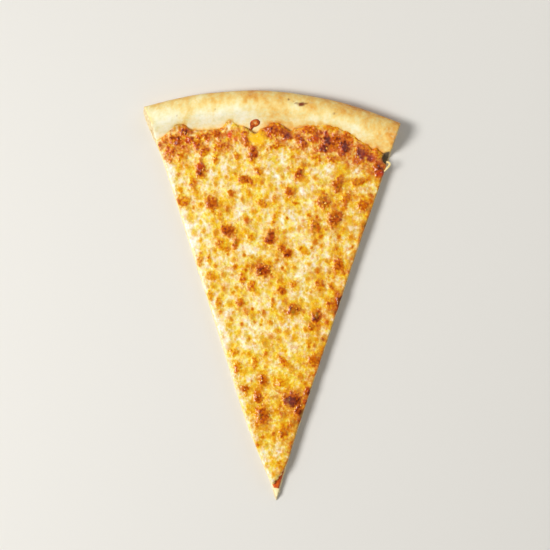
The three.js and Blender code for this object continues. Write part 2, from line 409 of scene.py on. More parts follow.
def makeCrust(look):
    # the solid is remeshed finely, its facets eased, and the dough's own unevenness pressed in
    copy = frame["nodes"]["crust"].data.copy()
    whole = bmesh.new()
    whole.from_mesh(copy)
    bmesh.ops.remove_doubles(whole, verts=whole.verts, dist=1e-6)
    whole.to_mesh(copy)
    whole.free()
    rough = addObject("rough_crust", copy)
    remesh = rough.modifiers.new("fine", "REMESH")
    remesh.mode = "VOXEL"
    remesh.voxel_size = look["voxel"] * mm
    fine = settled(rough)
    bpy.data.objects.remove(rough)
    points, normals, edges = readMesh(fine)
    depth, inside = rimSkinDepth(points)
    left, right = cutRoom(points[:, 0], points[:, 1], points[:, 2])
    toCut = np.minimum(left, right)
    onSkin = (depth < 0.5) & (toCut > 1.2) & (points[:, 2] > 0.5)
    weight = np.where(onSkin, 1.0, 0.12)
    points = relax(points, edges, weight, look["relaxRounds"])
    points = relax(points, edges, np.full(len(points), 0.5), 2)
    depth, inside = rimSkinDepth(points)
    noise = partial(softNoise, points)
    x, y, z = points.T
    isUnder = (z < 0.45) & (normals[:, 2] < -0.5)
    isCut = (toCut < 0.9) | (pocketRoom(x, y) < 0.8) & (z > 0.8)
    crumb = np.where(isCut & ~isUnder, soften((depth - 0.25 + noise(3, 5) * 0.2) / 0.6), 0)
    pores = poreNoise(points, look["poreSize"], 11)
    smallPores = poreNoise(points, look["poreSize"] * 0.5, 12)
    holes = soften((0.46 - pores + 0.22 * noise(3.5, 14, 2)) / 0.3)
    smallHoles = soften((0.4 - smallPores + 0.2 * noise(2.5, 15)) / 0.3) * 0.5
    pore = np.maximum(holes, smallHoles) * crumb
    # wrinkles along the rim, shallow dimples, and the knife's slight drag on the cut faces
    wrinkles = noise(9, 21, 3, 0.55) + 0.4 * softNoise(points * [1, 1, 2.5], 3, 22, 2)
    onRim = soften((22 - inside) / 3)
    move = look["wrinkle"] * wrinkles * onRim * (1 - crumb)
    move = move + 0.12 * noise(4, 23, 2) * (1 - onRim)
    move = move - look["poreDepth"] * pore * np.where(inside < 21, 1, 0.55)
    move = move + 0.16 * noise(2.5, 24, 2) * crumb
    move = np.where(isUnder, np.maximum(0.1 * noise(5, 25, 2), 0) * -1, move)
    moved = points + normals * move[:, None]
    # the knife's lean on the left eases out below the sauce
    width = soften((left + right - 1) / 6)
    low = bell(np.maximum(left, 0), 3) * clamp(1 - z / pie["baseTop"])
    moved[:, 0] += look["leanEase"] * low * width * soften((inside - 16) / 10)
    moved[:, 2] = np.maximum(moved[:, 2], 0)
    # the bake: deepest on the outer edge and towards the right end, palest on the inner slope
    innerBake = np.interp(x, look["bakeAlong"], look["bakeInner"])
    outerBake = np.interp(x, look["bakeAlong"], look["bakeOuter"])
    outward = soften((14.5 + 2.5 * noise(8, 30, 2) - inside) / 11)
    edgeBake = 0.16 * np.exp(-np.maximum(inside, 0) / 1.3)
    lowSide = soften((6 - z) / 4) * (inside < 6) * 0.14
    blotch = 0.26 * noise(13, 31, 2) + 0.3 * softNoise(points * [1, 0.6, 1], 4.0, 32, 3, 0.7)
    bake = innerBake + (outerBake - innerBake) * outward + edgeBake + lowSide + blotch * onRim
    bake = np.where(inside > 22, 0.26 + 0.1 * noise(5, 33), bake)
    char = np.zeros(len(points))
    uneven = 1 + 0.35 * noise(0.9, 41)
    for speckX, speckY, halfWidth, halfLength, strength in look["specks"]:
        away = np.hypot((x - speckX) / halfWidth, (y - speckY) / halfLength) * uneven
        char = np.maximum(char, strength * soften((1.5 - away) / 0.9))
    char = char * (z > 6)
    sole = np.where(isUnder, 0.38 + 0.3 * noise(9, 35, 3) + 0.12 * noise(2.5, 36), 0)
    faces = np.zeros(len(fine.loops), np.int32)
    fine.loops.foreach_get("vertex_index", faces)
    assert len(fine.loops) == 4 * len(fine.polygons)
    # painted shade inside the torn air pocket, above its floor and clear of the cut
    hollow = soften((0.9 - pocketRoom(x, y)) / 0.7) * (z > 0.8) * (z < 11.5) * (toCut > 0.5)
    fields = {"hollow": hollow, "bake": clamp(bake), "crumb": crumb, "pore": pore,
              "under": clamp(sole), "char": char}
    return makePiece("crust_dough", moved, faces.reshape(-1, 4).tolist(), crustMaterial(look), fields)


crust = makeCrust(crustLook)
print("crust:", len(crust.data.polygons), "faces")

crustTree = BVHTree.FromObject(crust, bpy.context.evaluated_depsgraph_get())


def crustHeight(x, y):
    # height of the dough under each point, in millimetres
    height = np.full(len(x), pie["baseTop"])
    for i in np.nonzero(insidePie(x, y) < 25)[0]:
        hit = crustTree.ray_cast(Vector((x[i] * mm, y[i] * mm, 0.03)), Vector((0, 0, -1)))[0]
        if hit is not None:
            height[i] = max(hit.z / mm, pie["baseTop"])
    return height


def traceEdge(room, centre, spacing):
    # walks out from the centre in every direction to where the room ends, then spaces the points evenly
    angles = np.linspace(0, 2 * np.pi, 5000, endpoint=False)

    def reached(run):
        return centre[0] + run * np.cos(angles), centre[1] + run * np.sin(angles)

    steps = np.arange(2, 190, 0.5)
    run = np.full(len(angles), steps[-1])
    found = np.zeros(len(angles), bool)
    for step in steps:
        out = room(*reached(step)) <= 0
        run = np.where(out & ~found, step, run)
        found |= out
    near, far = run - 0.5, run
    for _ in range(14):
        middle = (near + far) / 2
        within = room(*reached(middle)) > 0
        near, far = np.where(within, middle, near), np.where(within, far, middle)
    edge = np.column_stack(reached(near))
    closed = np.vstack([edge, edge[:1]])
    length = np.concatenate([[0], np.cumsum(np.hypot(*np.diff(closed, axis=0).T))])
    at = np.linspace(0, length[-1], round(length[-1] / spacing), endpoint=False)
    return np.column_stack([np.interp(at, length, closed[:, 0]), np.interp(at, length, closed[:, 1])])


def fillEdge(edge, room, spacing, seed):
    # scatters points evenly inside the edge and joins them all into triangles
    low, high = edge.min(0), edge.max(0)
    x, y = np.meshgrid(np.arange(low[0], high[0], spacing), np.arange(low[1], high[1], spacing * 0.866))
    x[1::2] += spacing / 2
    inner = np.column_stack([x.ravel(), y.ravel()])
    inner += np.random.default_rng(seed).uniform(-0.16, 0.16, inner.shape) * spacing
    inner = inner[room(inner[:, 0], inner[:, 1]) > spacing * 0.6]
    points = np.vstack([edge, inner])
    loop = [(i, (i + 1) % len(edge)) for i in range(len(edge))]
    joined = delaunay_2d_cdt([Vector(p) for p in points.tolist()], loop, [], 1, 1e-6)
    assert len(joined[0]) == len(points)
    return points, np.array(joined[2])


def layerSheet(room, centre, spacing, wallRows, seed):
    # a closed sheet in plan: its top, its wall in rows, and a coarse floor
    edge = traceEdge(room, centre, spacing)
    top, topFaces = fillEdge(edge, room, spacing, seed)
    floor, floorFaces = fillEdge(edge, room, spacing * 7, seed + 1)
    ring = len(edge)
    plan = [top] + [edge] * wallRows + [floor[ring:]]
    share = np.concatenate([np.ones(len(top))] + [np.full(ring, 1 - (k + 1) / wallRows)
                                                  for k in range(wallRows)]
                           + [np.zeros(len(floor) - ring)])
    parent = np.concatenate([np.arange(len(top))] + [np.arange(ring)] * wallRows
                            + [np.full(len(floor) - ring, -1)])
    here = np.arange(ring)
    following = (here + 1) % ring
    faces = [topFaces]
    for k in range(wallRows):
        upper = 0 if k == 0 else len(top) + (k - 1) * ring
        lower = len(top) + k * ring
        faces.append(np.column_stack([upper + here, lower + here, lower + following]))
        faces.append(np.column_stack([upper + here, lower + following, upper + following]))
    last = len(top) + (wallRows - 1) * ring
    index = np.concatenate([last + here, len(top) + wallRows * ring + np.arange(len(floor) - ring)])
    faces.append(index[floorFaces][:, ::-1])
    ahead = edge[following] - edge[here - 1]
    outward = np.column_stack([ahead[:, 1], -ahead[:, 0]])
    outward /= np.linalg.norm(outward, axis=1, keepdims=True)
    return {"plan": np.vstack(plan), "share": share, "parent": parent, "faces": np.vstack(faces),
            "ring": ring, "outward": outward}


# Cooked tomato sauce, a thin wet spread: deep red where it is thick, orange where oil has run in.
sauceLook = {
    "spacing": 1.0,
    "recess": 0.55,
    "end": (2.4, -106.2, 5),
    "red": [(0.0, "#96280A"), (0.35, "#C2440E"), (0.6, "#E06A18"), (1.0, "#F2A040")],
    # flecks of tomato pulp
    "grains": {"pulp": (1.5, {"Detail": 3.0})},
    "bumps": {"pulp": (0.6, 0.4)},
}


def sauceRoom(x, y):
    left, right = cutRoom(x, y, pie["sauceMiddle"])
    rim = insidePie(x, y) - 25.5
    end = endRoom(x, y, sauceLook["end"]) + 0.35 * np.sin(x * 2.1)
    room = np.minimum(np.minimum(left, right) - sauceLook["recess"], np.minimum(rim, end))
    return np.minimum(room, pocketRoom(x, y))


def sauceMaterial(look):
    material, tree, parts = newMaterial("cooked tomato sauce", (), look["grains"])
    colour = addNode(tree, "ShaderNodeValToRGB", {"Fac": parts["pulp"]}, stops=look["red"])
    addSurface(tree, {
        "Base Color": colour.outputs["Color"], "Roughness": 0.32, "IOR": 1.36, "Coat Weight": 0.25,
        "Coat Roughness": 0.2, **bumped(tree, parts, look["bumps"])})
    return material


def makeSauce(look):
    sheet = layerSheet(sauceRoom, (0, 20), look["spacing"], 2, 51)
    x, y = sheet["plan"].T
    room = np.maximum(sauceRoom(x, y), 0)
    edge = rounded(room, 1.2)
    top = pie["sauceTop"] - 0.15 + 0.12 * softNoise(sheet["plan"], 2.2, 53, 2)
    top = pie["baseTop"] + (top - pie["baseTop"]) * (0.45 + 0.55 * edge)
    z = pie["baseTop"] - 0.06 + (top - pie["baseTop"] + 0.06) * sheet["share"]
    return makePiece("sauce_spread", np.column_stack([x, y, z]), sheet["faces"], sauceMaterial(look))


sauce = makeSauce(sauceLook)
print("sauce:", len(sauce.data.polygons), "faces")


# Melted low-moisture mozzarella from a hot oven: cream where it stayed soft, golden where the fat
# came out, with orange-brown blisters and a browned band under the rim.
cheeseLook = {
    "spacing": 0.43,
    "margin": 20.3,
    # where along the rim, how wide and how far the edge reaches up the slope
    "lobes": [(-50.5, 7.5, 5.4), (-43.5, 2.2, -0.8), (-21.9, 3.8, 4.2), (-8, 3.2, -3.2), (3.5, 4.6, 2.8),
              (11.6, 1.8, -1.6), (36, 18, 5.6), (21, 3, 0.8), (57, 1.6, -1), (59.6, 1.8, 1.6)],
    "end": (2.1, -102.6, 50),
    "lumps": 0.26,
    "shreds": 0.12,
    "dome": 0.75,
    # the blisters that stand out: place, half width, half length, turn in degrees, how dark
    "blisters": [
        (-33.5, 52, 3.4, 3.9, 20, 0.85), (-39, 51, 2.5, 1.7, 0, 0.6), (-5, 51.5, 3.7, 2.3, -20, 0.7),
        (10, 58, 2.8, 2.8, 0, 0.82), (28.5, 52.5, 3.7, 4, 0, 0.85), (41.5, 54.5, 2.5, 4, -25, 0.8),
        (35, 43.5, 3.7, 5, -10, 0.88), (24, 39, 2.8, 3.7, 0, 0.85), (2, 43.5, 1.5, 4.5, -20, 0.64),
        (-24, 36.5, 4.2, 3.4, -20, 0.9), (-20, 29.5, 1.7, 3.4, -15, 0.85), (-11, 33, 2.5, 2.5, 0, 0.64),
        (-1, 32.5, 2.5, 3.7, 0, 1.0), (5.5, 27.5, 2.5, 2.3, -40, 0.8), (9, 24, 2.5, 2.8, -30, 0.9),
        (17.5, 26, 3.9, 2, -30, 0.65), (37, 18, 3, 3.7, 0, 0.76), (-28.5, 29.5, 2.8, 3, 0, 0.66),
        (-39.5, 20.5, 1.7, 4.2, -10, 0.66), (-34.5, 21, 1.4, 3, 0, 0.64), (-33.5, 11.5, 3.7, 2.5, -10, 0.68),
        (-16, 10.5, 2.3, 4, 0, 0.7), (-11, 6, 2.5, 3.4, 0, 0.7), (-5, 14.5, 3.9, 3.4, 0, 0.94),
        (5.5, 3.5, 3, 2.5, 0, 0.8), (12, 7, 2, 2.3, 0, 0.66), (26.5, 7, 2.5, 3.4, 0, 0.74),
        (33, 6, 1.7, 2.5, 0, 0.72), (-34, 1, 2, 3.4, 0, 0.66), (-29.5, -3, 2, 3, 0, 0.68),
        (-17.5, -3, 2.3, 2.5, -35, 0.75), (0.5, -3, 1.4, 3.4, 0, 0.7), (12, -7, 3.9, 3, 20, 0.92),
        (24.5, -11, 2.5, 4, -10, 0.96), (22, -16.5, 1.7, 2.5, -25, 0.85), (37.5, -2, 2.3, 3.4, -15, 0.85),
        (-39, 70.5, 2.8, 5, -5, 0.94), (-43.5, 63, 2.3, 3.7, 0, 0.7), (-19, 77.5, 2.3, 2, 0, 0.75),
        (-7.5, 69.5, 2.3, 2.5, 0, 0.75), (-15, 65, 4.2, 2.5, -10, 0.82), (-22.5, 57.5, 2, 2, 0, 0.76),
        (-49, 52.5, 4.2, 3.4, 0, 0.72), (15.5, 68, 2.3, 3.7, -10, 0.9), (36.5, 61.5, 2.8, 4.2, -15, 0.88),
        (48, 63.5, 3.7, 2.3, 25, 0.8), (50.5, 50.5, 3, 3, 0, 0.76), (-20.5, -30.5, 2.5, 2.5, 0, 0.62),
        (-19, -39, 2.3, 3.4, 0, 0.68), (-9, -35.5, 2, 2.8, 0, 0.66), (6.5, -35.5, 2, 4.8, 40, 0.7),
        (23, -35, 2.8, 2.8, 0, 0.7), (-4.5, -46.5, 2.3, 3.7, 10, 0.84), (5.5, -47.5, 3, 2.8, 0, 0.62),
        (-14.5, -50.5, 2.5, 2, -15, 0.82), (-7.5, -56, 2.3, 2.5, 0, 0.84), (-5, -65, 3.8, 5.2, 0, 0.86),
        (11.2, -57.3, 5.0, 3.8, -15, 0.98), (15, -62.5, 3, 2.8, -30, 0.88), (20.5, -52.5, 2.3, 2.5, 0, 0.82),
        (6, -75.5, 2.3, 2.5, 0, 0.8), (-8, -82, 1.4, 2, 0, 0.66), (59, 69.5, 2.2, 3.4, 0, 0.8),
        (32.5, -4, 2.3, 2.5, 0, 0.7), (13, 52, 2, 1.7, 0, 0.6),
    ],
    # the browned band under the rim: its darkest lumps
    "bandLumps": [
        (-48, 91, 3, 2.4, 0, 0.95), (-51.5, 86, 2.6, 2.4, 30, 0.9), (-54.5, 88, 2.2, 2.2, 0, 0.82),
        (-45.5, 86.5, 2, 2.4, 0, 0.85), (-56, 80, 3, 4, 0, 0.72), (-50, 77, 3, 3, 0, 0.66),
        (-37, 89, 6, 1.6, 5, 0.8), (-41, 84, 2.6, 3, 0, 0.78), (-38, 80, 2.4, 3, 0, 0.76),
        (-30.5, 90, 2.4, 2, 0, 0.84), (-28.5, 83.5, 2.6, 3, 0, 0.76), (-31, 76, 2, 3.6, 0, 0.66),
        (-13.5, 86, 1.8, 4.5, 28, 0.82), (-10, 80, 2.4, 3.6, -10, 1.0), (1.5, 92.5, 4.4, 3.6, 0, 0.88),
        (9, 89, 2.6, 2.2, 0, 0.95), (2, 83, 5, 1.6, 15, 0.72), (16, 87, 2, 2.2, 0, 0.88),
        (21, 93, 4.2, 3, 0, 0.8), (23.5, 87.5, 2.4, 2, 0, 0.88), (17.5, 84, 1.8, 2.2, 0, 0.78),
        (30.5, 86.5, 2.8, 3, 0, 1.04), (28.5, 82, 2.4, 2.2, 0, 1.02), (32.5, 94, 4, 2.2, -8, 0.78),
        (36, 87, 2, 2.2, 0, 0.95), (40.5, 83, 2.4, 4, 0, 1.08), (42, 89.5, 2.6, 2, 0, 0.84),
        (49.5, 79, 3.2, 2.6, -30, 1.0), (54.5, 76.5, 2.6, 1.8, -35, 0.95), (58, 82, 2.2, 2, 0, 0.8),
        (25, 77, 3, 2, -20, 0.7), (34, 76, 3.4, 2, -10, 0.72), (58.5, 73, 1.6, 3, 10, 0.9),
        (48, 88, 3, 1.6, -20, 0.72),
    ],
    "smallBlisters": {"seed": 71, "count": 270, "sizes": (0.8, 1.9), "darkness": (0.46, 0.76), "gap": 0.7},
    "dots": {"seed": 72, "count": 620, "sizes": (0.35, 0.8), "darkness": (0.36, 0.52), "gap": 0.2},
    # places where the sauce's red or the charring's purple shows through: place, radius, strength
    "redSpots": [(-23, 89.7, 1.5, 0.85), (-20, 87.6, 1.3, 0.6), (-46, 86.5, 1.4, 0.4), (-11, 83, 1.6, 0.35),
                 (24, 87, 1.6, 0.35), (56, 77, 2, 0.45), (-10, 79, 1.2, 0.3), (-56, 81, 1.6, 0.35),
                 (16, 66, 2, 0.35), (-1, 33, 1.6, 0.4), (-40, 72, 2.6, 0.35), (60, 68, 2, 0.5)],
    "purpleSpots": [(49.5, 79.5, 2.4, 0.6), (54.5, 77, 2, 0.45), (30.5, 86, 1.6, 0.35), (40.5, 83, 1.6, 0.35),
                    (9, 89.5, 2, 0.4), (10, -57.5, 2.8, 0.55), (-45, 90.5, 1.5, 0.25), (28.5, 82, 1.4, 0.3)],
    "greasePool": (-8, 88, 4.2),
    "fatReach": 1.0,
    "fatBake": 0.5,
    # the same bake where the curd stayed milky, and where its fat came out
    "milky": [(0.0, "#FFFCF2"), (0.12, "#FBF3E0"), (0.25, "#F6E6C8"), (0.37, "#F0D2A4"), (0.48, "#E8B876"),
              (0.59, "#DC9646"), (0.7, "#CB6E2C"), (0.8, "#B45222"), (0.9, "#943A1C"), (1.0, "#622218")],
    "fatty": [(0.0, "#FEFAC8"), (0.12, "#FCF0A0"), (0.25, "#F8E676"), (0.37, "#F4D548"), (0.48, "#EEBC1C"),
              (0.59, "#E29A04"), (0.7, "#D07000"), (0.8, "#B85400"), (0.9, "#983C00"), (1.0, "#642002")],
    "tints": {"tomato": "#DC4420", "char": "#7A3C3A", "curd": "#CDBB4C", "grease": "#FBC41E"},
    "curdShare": 0.5,
    # the melted shreds, and the fine curd between them
    "grains": {"shreds": (1.6, {"Detail": 2.0, "Distortion": 0.6}), "fineCurd": (0.7, {"Detail": 2.0})},
    "uneven": {"shreds": 0.3, "fineCurd": 0.22},
    "bumps": {"shreds": (0.8, 0.45), "fineCurd": (0.5, 0.2)},
}


raggedAt = np.linspace(-120, 120, 2401)
raggedRim = softNoise(np.column_stack([raggedAt, 0 * raggedAt]), 4.5, 62, 3, 0.6)
raggedCut = softNoise(np.column_stack([raggedAt, 0 * raggedAt]), 5.0, 63, 3, 0.6)


def meltedEdges(x, y):
    # how far a point lies inside the edge that melted along the rim, and the one at the tip
    stop = np.full(np.shape(x), cheeseLook["margin"])
    for lobeX, width, reach in cheeseLook["lobes"]:
        stop = stop - reach * bell(x + 1.2 - lobeX, width)
    rim = insidePie(x, y) - stop + 1.1 * np.interp(x, raggedAt, raggedRim)
    end = endRoom(x, y, cheeseLook["end"]) + 0.35 * np.sin((x + y) * 1.4) + 0.2 * np.sin((x + y) * 3.1)
    return rim, end


def cheeseRoom(x, y):
    left, right = cutRoom(x, y, pie["cheeseMiddle"])
    rim, end = meltedEdges(x, y)
    wander = np.interp(y, raggedAt, raggedCut)
    cuts = np.minimum(left - 0.15 + 0.3 * wander, right - 0.15 - 0.3 * wander)
    tipEnd = np.minimum(cuts, end) - 0.6 * np.exp(-np.abs(cuts - end) / 0.9)
    return np.minimum(np.minimum(tipEnd, rim), pocketRoom(x, y) - 0.1)


def spotLevels(plan, spots, seed, wobble=0.28, crisp=3):
    # how brown a list of blisters makes each point, how far it covers it, and how high it swells
    x, y = plan.T
    uneven = 1 + wobble * softNoise(plan, 2.0, seed, 3, 0.6)
    levels = np.zeros((3, len(plan)))
    for spotX, spotY, halfWidth, halfLength, turn, dark in spots:
        reach = 3.2 * max(halfWidth, halfLength)
        near = np.nonzero((np.abs(x - spotX) < reach) & (np.abs(y - spotY) < reach))[0]
        if len(near) == 0:
            continue
        u, v = turned(x[near] - spotX, y[near] - spotY, turn)
        away = np.hypot(u / halfWidth, v / halfLength) * uneven[near]
        core = np.exp(-((away / 1.16) ** crisp))
        halo = bell(away, 1.8)
        cover = np.maximum(0.98 * core, 0.6 * halo)
        dome = dark * np.sqrt(clamp(1 - (away / 1.15) ** 2)) * min(halfWidth, halfLength) / 2.6
        levels[:, near] = np.maximum(levels[:, near], [cover * dark, cover, dome])
    return levels


def glowSpots(plan, spots, seed):
    uneven = 1 + 0.35 * softNoise(plan, 1.6, seed, 2)
    glow = np.zeros(len(plan))
    for spotX, spotY, radius, strength in spots:
        away = np.hypot(plan[:, 0] - spotX, plan[:, 1] - spotY) / radius * uneven
        glow = np.maximum(glow, strength * soften((1.5 - away) / 1.1))
    return glow


def scatterSpots(look, keepOff):
    # small blisters at random, clear of the larger ones
    chance = np.random.default_rng(look["seed"])
    count = look["count"]
    taken = [(s[0], s[1], max(s[2], s[3])) for s in keepOff]
    spots = []
    while len(spots) < count:
        x, y = chance.uniform(-66, 66), chance.uniform(-102, 92)
        size = chance.uniform(*look["sizes"])
        here = np.array([x]), np.array([y])
        if cheeseRoom(*here)[0] < size * 0.4 or cutRoom(*here, pie["cheeseMiddle"])[0][0] < size * 0.8 + 1.2:
            continue
        if any((x - t[0]) ** 2 + (y - t[1]) ** 2 < (t[2] + size * look["gap"]) ** 2 for t in taken):
            count -= 0.02
            continue
        spots.append((x, y, size, size * chance.uniform(1.0, 1.6), chance.uniform(-35, 35),
                      chance.uniform(*look["darkness"])))
        taken.append((x, y, size))
    return spots


def cheeseMaterial(look):
    tints = look["tints"]
    material, tree, parts = newMaterial("melted mozzarella", ("browning", "fatty", *tints), look["grains"])
    shift = unevenness(tree, parts, look["uneven"])
    level = addNode(tree, "ShaderNodeMath", {0: parts["browning"], 1: shift}, operation="ADD").outputs[0]
    milky, fatty = [addNode(tree, "ShaderNodeValToRGB", {"Fac": level}, stops=look[name]).outputs[0]
                    for name in ("milky", "fatty")]
    tinted = [(parts[name], linear(tints[name])) for name in tints]
    colour = layered(tree, milky, [(parts["fatty"], fatty)] + tinted)
    # glossier where it is browned
    gloss = addNode(tree, "ShaderNodeMapRange", {0: level, 1: 0.25, 2: 0.72, 3: 0.36, 4: 0.17})
    addSurface(tree, {
        "Base Color": colour, "Roughness": gloss.outputs[0], "IOR": 1.44, "Subsurface Weight": 0.1,
        "Subsurface Radius": (1.0, 0.5, 0.2), "Subsurface Scale": 0.8 * mm, "Specular IOR Level": 0.38,
        **bumped(tree, parts, look["bumps"])})
    return material


def makeCheese(look):
    sheet = layerSheet(cheeseRoom, (0, 25), look["spacing"], 4, 61)
    plan = sheet["plan"]
    x, y = plan.T
    noise = partial(softNoise, plan)
    inside = insidePie(x, y)
    room = np.maximum(cheeseRoom(x, y), 0)
    melted = np.minimum(np.minimum(*meltedEdges(x, y)), pocketRoom(x, y) - 0.1)
    floor = np.maximum(crustHeight(x, y) + 0.03, pie["cheeseFloor"])

    # browning
    large = look["blisters"] + look["bandLumps"]
    small = scatterSpots(look["smallBlisters"], large)
    dots = scatterSpots(look["dots"], large)
    bandLumps = spotLevels(plan, look["bandLumps"], 101, 0.65)
    bandLumps[0] *= 1.0 + 0.25 * noise(2.2, 102, 2)
    browning, cover, dome = np.maximum(spotLevels(plan, look["blisters"], 73, 0.5, 4), bandLumps)
    smallBrowning, smallCover, smallDome = spotLevels(plan, small, 74, 0.45)
    dotBrowning, dotCover = spotLevels(plan, dots, 75, 0.2)[:2]
    band = soften((36 + 4 * noise(8, 76, 2) - inside) / 7)
    gap = bell(x + 4, 9) * soften((inside - 25) / 4)
    band = band * (1 - 0.7 * gap)
    tip = soften((5 - y) / 60)
    shredNoise = noise(3.0, 77, 3, 0.6)
    fineNoise = softNoise(plan * [1.0, 0.8], 1.3, 78, 2)
    base = 0.22 + 0.42 * shredNoise + 0.24 * fineNoise + 0.1 * noise(13, 79, 2)
    # browner towards the tip, and a little browner towards the right: partly baking, partly painted shade on
    # the side away from the light
    base = base + 0.1 * tip + 0.0009 * x
    left, right = cutRoom(x, y, pie["cheeseMiddle"])
    # painted light: the cheese is paler and creamier near the left cut, the side the light falls on
    paintedLightAtLeft = bell(np.maximum(left, 0), 5)
    base = base - 0.1 * paintedLightAtLeft
    # under the rim the blisters crowd together
    warp = np.column_stack([noise(3.4, 97, 2), noise(3.4, 98, 2), 0 * x])
    cells = poreNoise(np.column_stack([x, y, 0 * x]) + 1.5 * warp, 3.3, 99)
    bubble = soften(1.15 - cells / 0.62)
    bandBase = 0.42 + 0.26 * bubble + 0.6 * noise(5.0, 80, 3, 0.7) + 0.16 * fineNoise
    level = base * (1 - band) + bandBase * band
    for value, weight in ((dotBrowning, dotCover * 0.8), (smallBrowning, smallCover), (browning, cover)):
        level = np.maximum(level * (1 - weight) + value, level * 0.9)
    streaks = noise(1.5, 81, 2)
    level = level + 0.26 * streaks * clamp(cover + band * 0.3)
    # painted shade: browner and darker along the right cut, the side away from the light
    level = level + 0.27 * np.exp(-np.maximum(right, 0) / 3.4) * (1 + 0.8 * noise(6, 82))
    # thin golden edges where the cheese ran up the slope or out at the tip
    patchy = np.maximum(soften(0.75 + 1.2 * noise(5, 105, 2)), soften((-96 - y) / 3))
    thin = np.exp(-np.maximum(melted, 0) / 1.3) * patchy
    level = level + (0.52 - level) * 0.65 * thin
    # relief
    lumps = look["lumps"] * noise(5.5, 83, 2) + 0.22 * noise(16, 84)
    shredRelief = look["shreds"] * shredNoise + 0.07 * fineNoise
    bandRelief = band * (0.3 * noise(3.4, 85, 2) + 0.18 * streaks + 0.4 * (bubble - 0.4))
    bandRelief = bandRelief + 0.16 * streaks * cover * (1 - band)
    relief = lumps + shredRelief + bandRelief + look["dome"] * dome + 0.3 * smallDome
    skin = (1.15 + 0.3 * noise(4, 86)) * (0.4 + 0.6 * soften(melted / 5))
    slope = floor + skin
    flat = pie["cheeseTop"] - 0.1
    blend = clamp((slope - flat) / 1.6 + 0.5)
    top = np.maximum(slope, flat) + 0.4 * blend * (1 - blend) + relief
    roundCut = rounded(room, 0.8)
    roundMelt = rounded(melted, 2.6)
    edgeShare = (0.72 + 0.28 * roundCut) * (0.12 + 0.88 * roundMelt)
    top = floor + np.maximum(top - floor, 0.35) * edgeShare
    # the wall: it leans out with the knife and sags a little over the sauce
    share = sheet["share"]
    above = np.maximum(sheet["parent"], 0)
    hasTop = sheet["parent"] >= 0
    wall = hasTop & (share < 1)
    sag = 0.55 * soften(0.5 + noise(7, 87)) * (melted > 2) * (inside > 24)
    lowest = np.where(wall, floor - sag, floor)
    z = lowest + (np.where(hasTop, top[above], top) - lowest) * share
    bulge = 0.22 * (1 - share) * (melted > 2) + 0.12 * np.sin(np.pi * share) * noise(3, 88)
    shiftOut = sheet["outward"][above % sheet["ring"]] * (bulge * wall)[:, None]
    points = np.column_stack([x + shiftOut[:, 0], y + shiftOut[:, 1], z])
    tomato = glowSpots(plan, look["redSpots"], 91)
    tomato = tomato + 0.4 * soften(noise(2.6, 92, 2) * 1.6 - 0.1) * (0.6 + 0.4 * band)
    fatty = 0.28 + 1.2 * noise(6.0, 95, 3, 0.8) + 0.5 * noise(1.6, 96)
    fatty = fatty + 0.8 * clamp(cover + 0.7 * smallCover + 0.3 * dotCover) - 0.1 * band
    # less yellow fat near the left cut is painted light; more fat at the tip and on the thin edges
    fatty = fatty - 0.3 * paintedLightAtLeft + 0.22 * tip + 0.6 * thin
    olive = soften(noise(2.2, 100, 2) * 1.8 - 0.1) * (1 - cover) * (1 - 0.6 * band) * (1 - thin)
    char = glowSpots(plan, look["purpleSpots"], 93)
    poolX, poolY, poolRadius = look["greasePool"]
    pool = soften(1.5 - np.hypot(x - poolX, (y - poolY) * 1.1) / poolRadius + 0.4 * fineNoise) * 0.9
    oil = 0.25 * soften(noise(5, 94, 2) * 2) * (1 - band)
    fields = {"browning": np.clip(level, 0, 1.15), "tomato": clamp(tomato),
              "char": clamp(char), "grease": clamp(np.maximum(pool, oil)),
              "fatty": clamp(fatty)}
    fields = {name: np.where(hasTop, values[above], 0.1) for name, values in fields.items()}
    # the knife's own faces show the paler inside of the cheese
    cutFace = wall * (melted > 2) * clamp((1 - share) * 2.6)
    freshCut = 0.4 + 0.16 * softNoise(points, 2.6, 103, 2)
    freshFat = 0.5 + 0.5 * softNoise(points, 4, 104)
    for name, fresh in (("browning", freshCut), ("fatty", freshFat), ("tomato", 0), ("char", 0)):
        fields[name] = fields[name] * (1 - cutFace) + fresh * cutFace
    fields["grease"] = fields["grease"] * ~wall
    curd = np.maximum(dotCover * (1 - cover) * (1 - band), 0.85 * olive)
    fields["curd"] = look["curdShare"] * clamp(curd) * ~wall * hasTop
    fields["wet"] = clamp(2 * browning - 0.9) * ~wall * hasTop
    return makePiece("melted_cheese", points, sheet["faces"], cheeseMaterial(look), fields)


cheese = makeCheese(cheeseLook)
print("cheese:", len(cheese.data.polygons), "faces")


def goldenDoughBeside(look):
    # fat that ran out of the cheese, baked golden into the dough next to it
    points = readMesh(crust.data)[0]
    bake = np.zeros(len(points), np.float32)
    values = crust.data.attributes["bake"].data
    values.foreach_get("value", bake)
    x, y = points[:, 0], points[:, 1]
    fat = np.exp(np.minimum(cheeseRoom(x, y), 0) / look["fatReach"]) * (insidePie(x, y) < 26)
    fat = fat * soften(0.7 + 0.9 * softNoise(points, 3.5, 115, 2))
    values.foreach_set("value", clamp(bake + look["fatBake"] * fat).astype(np.float32))


goldenDoughBeside(cheeseLook)


# A dab of cheese that ran up onto the rim: a browned ring round a paler middle, and its strand.
dabLook = {
    "spacing": 0.26,
    "middle": (-9.2, 96.3, 2.6, 2.0),
    "strand": ((-10.6, 95.2), (-12.4, 91.6), 0.95),
    "height": 0.95,
}


